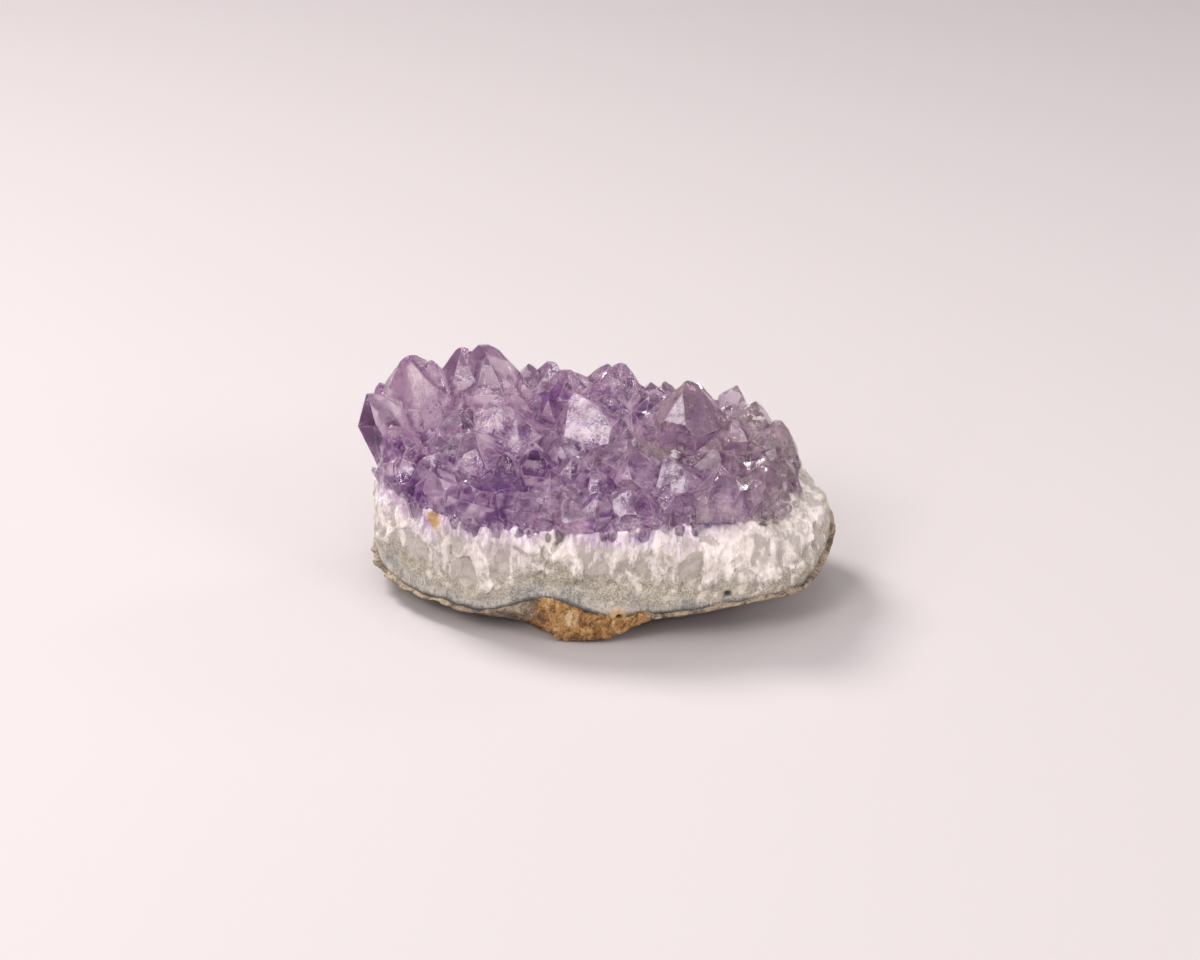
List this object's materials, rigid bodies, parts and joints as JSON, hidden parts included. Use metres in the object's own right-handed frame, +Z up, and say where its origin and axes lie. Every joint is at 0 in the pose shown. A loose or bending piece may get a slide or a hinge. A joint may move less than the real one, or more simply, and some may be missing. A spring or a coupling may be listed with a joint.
{
  "type": "amethyst cluster",
  "caption": "Palm-sized chunk of geode wall: see-through violet quartz points on a milky quartz wall with a thin tan crust of host rock below, lying on its crust.",
  "frame": {"origin": "on the resting surface, under the middle of the chunk's box", "axes": "+X along the chunk to its overhanging end, +Y to its back, +Z up, the way the crystal points stand"},
  "size_m": [0.0984, 0.0596, 0.0469],
  "materials": {
    "host_rock": "rough, crumbly weathered rock, tan to orange-brown with darker stains",
    "milky_quartz": "broken quartz: blue-grey chalcedony band below, grainy grey-green, then white columns with glints",
    "amethyst": "clear to pale violet quartz with glossy crystal faces, deeper violet near the roots"
  },
  "bodies": {
    "root": {"host_rock_rind": "host_rock", "quartz_wall": "milky_quartz", "amethyst_crystals": "amethyst"}
  },
  "joints": []
}
